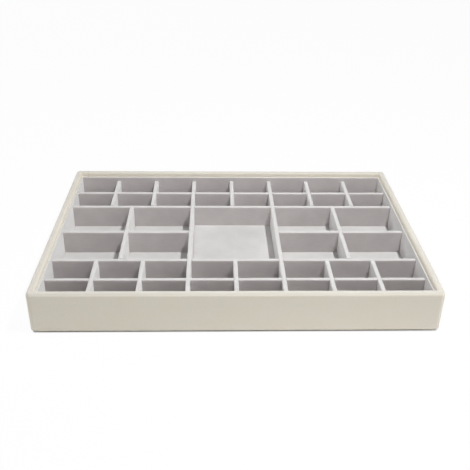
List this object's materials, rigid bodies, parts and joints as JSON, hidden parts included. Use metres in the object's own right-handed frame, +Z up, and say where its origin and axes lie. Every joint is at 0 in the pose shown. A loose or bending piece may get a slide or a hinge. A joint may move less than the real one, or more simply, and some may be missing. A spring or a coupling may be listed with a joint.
{
  "type": "jewelry tray",
  "caption": "Shallow stackable jewelry tray: a cream leatherette-wrapped box with a grey velvet grid of small, deep and centre cells below a plain rim.",
  "frame": {"origin": "middle of the resting face, on the surface the tray stands on", "axes": "+X along the width to the right, +Y from the front to the rear, +Z up out of the cells"},
  "size_m": [0.3758, 0.2558, 0.0426],
  "materials": {
    "leatherette": "fine-grained matte cream",
    "velvet": "short pile, light warm grey",
    "fibreboard": "smooth fibreboard",
    "greyboard": "plain grey card",
    "underside_cloth": "flat felted cloth"
  },
  "bodies": {
    "root": {"base_board": "fibreboard", "centre_pad_card": "greyboard", "centre_pad_velvet": "velvet", "cross_centre_left_board": "greyboard", "cross_centre_left_velvet": "velvet", "cross_centre_right_board": "greyboard", "cross_centre_right_velvet": "velvet", "cross_front_1_board": "greyboard", "cross_front_1_velvet": "velvet", "cross_front_2_board": "greyboard", "cross_front_2_velvet": "velvet", "cross_front_3_board": "greyboard", "cross_front_3_velvet": "velvet", "cross_front_4_board": "greyboard", "cross_front_4_velvet": "velvet", "cross_front_5_board": "greyboard", "cross_front_5_velvet": "velvet", "cross_middle_left_board": "greyboard", "cross_middle_left_velvet": "velvet", "cross_middle_right_board": "greyboard", "cross_middle_right_velvet": "velvet", "cross_rear_1_board": "greyboard", "cross_rear_1_velvet": "velvet", "cross_rear_2_board": "greyboard", "cross_rear_2_velvet": "velvet", "cross_rear_3_board": "greyboard", "cross_rear_3_velvet": "velvet", "cross_rear_4_board": "greyboard", "cross_rear_4_velvet": "velvet", "cross_rear_5_board": "greyboard", "cross_rear_5_velvet": "velvet", "floor_card": "greyboard", "floor_velvet": "velvet", "leatherette_wrap": "leatherette", "liner_card_front": "greyboard", "liner_card_left": "greyboard", "liner_card_rear": "greyboard", "liner_card_right": "greyboard", "liner_velvet_front": "velvet", "liner_velvet_left": "velvet", "liner_velvet_rear": "velvet", "liner_velvet_right": "velvet", "long_front_inner_board": "greyboard", "long_front_inner_velvet": "velvet", "long_front_outer_board": "greyboard", "long_front_outer_velvet": "velvet", "long_middle_left_board": "greyboard", "long_middle_left_velvet": "velvet", "long_middle_right_board": "greyboard", "long_middle_right_velvet": "velvet", "long_rear_inner_board": "greyboard", "long_rear_inner_velvet": "velvet", "long_rear_outer_board": "greyboard", "long_rear_outer_velvet": "velvet", "plinth_board": "fibreboard", "underside_cloth": "underside_cloth", "wall_board_front": "fibreboard", "wall_board_left": "fibreboard", "wall_board_rear": "fibreboard", "wall_board_right": "fibreboard"}
  },
  "joints": []
}
